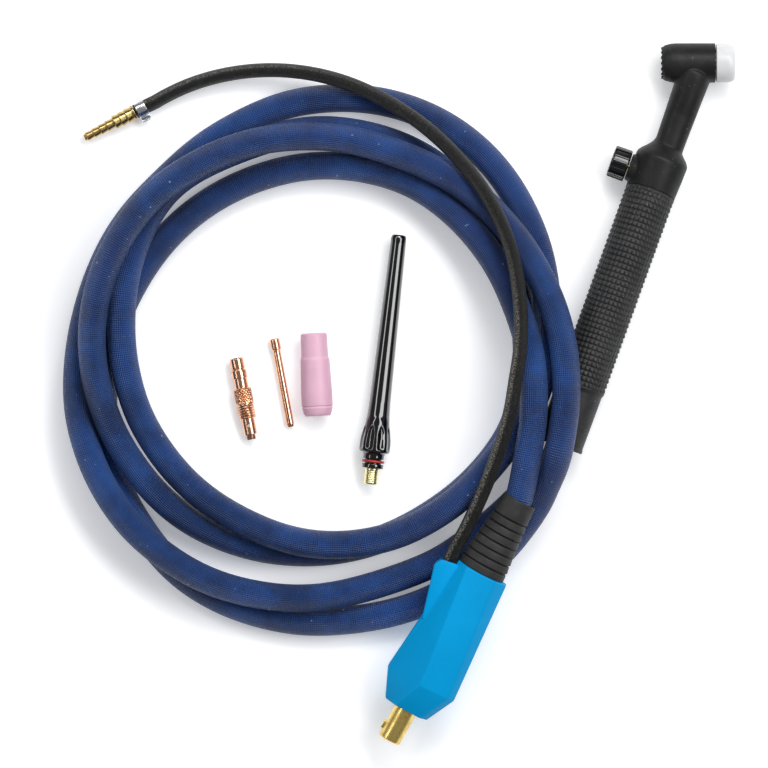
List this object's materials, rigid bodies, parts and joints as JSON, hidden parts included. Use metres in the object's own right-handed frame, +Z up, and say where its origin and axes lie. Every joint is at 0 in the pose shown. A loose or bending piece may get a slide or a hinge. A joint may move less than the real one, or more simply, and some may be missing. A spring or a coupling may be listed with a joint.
{
  "type": "tig torch",
  "caption": "Air-cooled TIG welding torch with manual gas valve, coiled power hose with bayonet plug, separate gas hose with stepped fitting, and loose collet, nozzle and back cap.",
  "frame": {"origin": "bottom centre of the whole lay: the bench top, under the middle of the object's box", "axes": "+Z up from the bench; +Y towards the torch head, away from the plug; +X to the right, seen from above, from the coil towards the handle"},
  "size_m": [0.3754, 0.3918, 0.0512],
  "materials": {
    "black_moulding": "moulded rubbery plastic, semi-gloss",
    "knurled_grip": "fine square knurl, satin",
    "knob_black": "fluted, glossy",
    "ptfe_white": "PTFE, translucent white",
    "brass": "turned brass",
    "copper": "turned copper alloy, polished",
    "copper_strand": "stranded copper",
    "hose_blue": "braid-printed PVC hose, satin",
    "hose_black": "braided rubber hose",
    "boot_rubber": "ribbed rubber",
    "housing_blue": "moulded, fine texture",
    "steel": "zinc plated",
    "ceramic_pink": "alumina, matte",
    "cap_black": "polished moulding",
    "oring_red": "silicone rubber",
    "oring_black": "nitrile rubber"
  },
  "bodies": {
    "coil": {"power_hose": "hose_blue", "power_conductor": "copper_strand", "strain_relief_boot": "boot_rubber", "housing_upper": "housing_blue", "housing_lower": "housing_blue", "housing_screw_1": "steel", "housing_screw_2": "steel", "housing_screw_3": "steel", "plug_pin": "brass", "plug_hose_nipple": "brass", "plug_hose_ferrule": "copper", "gas_nipple": "brass", "gas_inner_clamp": "steel", "gas_hose": "hose_black"},
    "torch": {"head_core": "brass", "head_insulation": "black_moulding", "cup_gasket": "ptfe_white", "neck_tube": "copper", "valve_block": "brass", "valve_packing_nut": "brass", "handle_grip": "knurled_grip", "torch_hose_nut": "brass", "torch_hose_nipple": "brass", "torch_hose_ferrule": "copper", "power_hose_lead": "hose_blue", "power_conductor_lead": "copper_strand"},
    "valve_lift": {"valve_oring": "oring_black"},
    "valve_spindle": {"valve_knob": "knob_black", "valve_stem": "brass"},
    "gas_end": {"gas_hose_end": "hose_black", "gas_hose_clamp": "steel", "gas_fitting": "brass"},
    "loose_collet_body": {"collet_body": "copper"},
    "loose_collet": {"collet": "copper"},
    "loose_nozzle": {"nozzle": "ceramic_pink"},
    "loose_back_cap": {"back_cap": "cap_black", "back_cap_oring": "oring_red", "back_cap_insert": "brass"}
  },
  "joints": [
    {"name": "torch_swing", "type": "hinge", "parent": "coil", "child": "torch", "pos_m": [0.0905, -0.02577, 0.0141], "axis": [0, 0, 1], "range_deg": [-12, 0]},
    {"name": "valve_rise", "type": "slide", "parent": "torch", "child": "valve_lift", "axis": [-0.9409, 0.3387, 0], "range_m": [0, 0.00151]},
    {"name": "valve_turn", "type": "hinge", "parent": "valve_lift", "child": "valve_spindle", "pos_m": [0.14352, 0.12147, 0.0141], "axis": [-0.9409, 0.3387, 0], "range_deg": [0, 540]},
    {"name": "gas_end_swing", "type": "hinge", "parent": "coil", "child": "gas_end", "pos_m": [-0.0965, 0.17865, 0.01061], "axis": [0, 0, 1], "range_deg": [-10, 10]},
    {"name": "pick_up_collet_body", "type": "slide", "parent": "coil", "child": "loose_collet_body", "axis": [0, 0, 1], "range_m": [0, 0.06]},
    {"name": "pick_up_collet", "type": "slide", "parent": "coil", "child": "loose_collet", "axis": [0, 0, 1], "range_m": [0, 0.06]},
    {"name": "pick_up_nozzle", "type": "slide", "parent": "coil", "child": "loose_nozzle", "axis": [0, 0, 1], "range_m": [0, 0.06]},
    {"name": "pick_up_back_cap", "type": "slide", "parent": "coil", "child": "loose_back_cap", "axis": [0, 0, 1], "range_m": [0, 0.06]}
  ],
  "couplings": [
    {"joint": "valve_rise", "follows": "valve_turn", "m_per_rad": 0.00015915}
  ]
}
